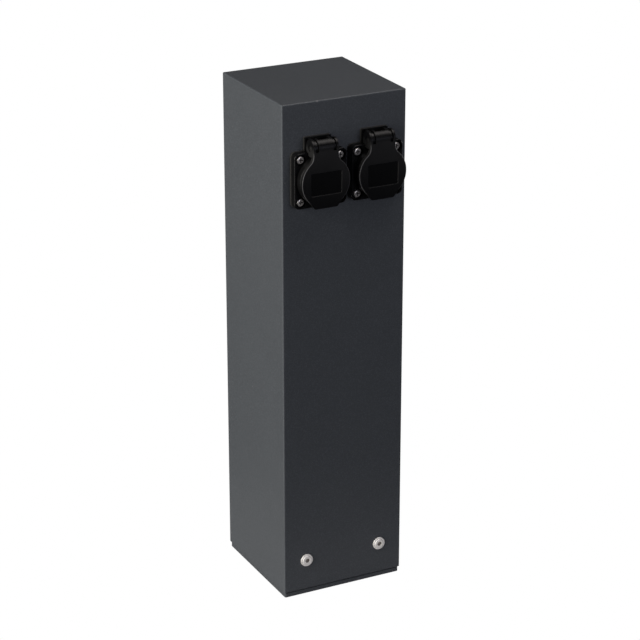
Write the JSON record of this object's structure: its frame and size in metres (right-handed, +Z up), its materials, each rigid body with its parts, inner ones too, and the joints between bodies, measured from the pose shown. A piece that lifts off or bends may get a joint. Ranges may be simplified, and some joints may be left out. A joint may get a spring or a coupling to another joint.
{
  "type": "garden socket post",
  "caption": "Square powder-coated garden power post on a bolt-down base plate, with panel sockets side by side under sprung hinged lids.",
  "frame": {"origin": "centre of the base plate's underside, on the ground, in the middle of the anchor pattern", "axes": "+Z up the post; -Y out of the front face with the sockets; +X to the right seen from the front"},
  "size_m": [0.12, 0.1417, 0.47],
  "materials": {
    "powder_coat": "fine-grained matt anthracite powder coat",
    "zinc_steel": "zinc plated",
    "stainless_steel": "bright turned stainless steel",
    "tinned_copper": "tinned",
    "rubber": "moulded black rubber",
    "brass": "plain",
    "block_plastic": "moulded",
    "brown_wire": "extruded insulation",
    "blue_wire": "extruded insulation",
    "earth_wire": "green and yellow extruded insulation",
    "socket_plastic": "moulded black polyamide, finely textured",
    "gasket_rubber": "moulded dark grey rubber",
    "spring_steel": "drawn spring wire"
  },
  "bodies": {
    "post": {"base_plate": "powder_coat", "block_screws": "zinc_steel", "bonding_wire": "earth_wire", "bracket_screws": "zinc_steel", "cable_grommet": "rubber", "clamp_screws": "zinc_steel", "contact_insert_left": "socket_plastic", "contact_insert_right": "socket_plastic", "contact_screws_left": "zinc_steel", "contact_screws_right": "zinc_steel", "earth_clip_left": "brass", "earth_clip_right": "brass", "earth_lug": "tinned_copper", "earth_nuts": "zinc_steel", "earth_stud": "zinc_steel", "earth_wires": "earth_wire", "flange_nuts_left": "zinc_steel", "flange_nuts_right": "zinc_steel", "flange_screws_left": "stainless_steel", "flange_screws_right": "stainless_steel", "gasket_left": "gasket_rubber", "gasket_right": "gasket_rubber", "hinge_pin_left": "stainless_steel", "hinge_pin_right": "stainless_steel", "housing_screws": "stainless_steel", "insert_screw_left": "zinc_steel", "insert_screw_right": "zinc_steel", "lid_spring_left": "spring_steel", "lid_spring_right": "spring_steel", "live_contacts_left": "brass", "live_contacts_right": "brass", "live_wires": "brown_wire", "neutral_wires": "blue_wire", "post_housing": "powder_coat", "rear_cover_left": "socket_plastic", "rear_cover_right": "socket_plastic", "relief_screws": "zinc_steel", "socket_body_left": "socket_plastic", "socket_body_right": "socket_plastic", "strain_relief_bar": "zinc_steel", "terminal_block": "block_plastic", "terminal_bracket": "zinc_steel", "terminal_clamps": "brass", "weld_nuts": "zinc_steel"},
    "lid_left": {"lid_left": "socket_plastic", "lid_seal_left": "gasket_rubber"},
    "lid_right": {"lid_right": "socket_plastic", "lid_seal_right": "gasket_rubber"}
  },
  "joints": [
    {"name": "lid_hinge_left", "type": "hinge", "parent": "post", "child": "lid_left", "pos_m": [-0.0275, -0.0722, 0.4327], "axis": [-1, 0, 0], "range_deg": [0, 110], "stiffness_Nm_per_rad": 0.02, "springref_deg": -34.38, "deforming": ["lid_spring_left"]},
    {"name": "lid_hinge_right", "type": "hinge", "parent": "post", "child": "lid_right", "pos_m": [0.0275, -0.0722, 0.4327], "axis": [-1, 0, 0], "range_deg": [0, 110], "stiffness_Nm_per_rad": 0.02, "springref_deg": -34.38, "deforming": ["lid_spring_right"]}
  ]
}
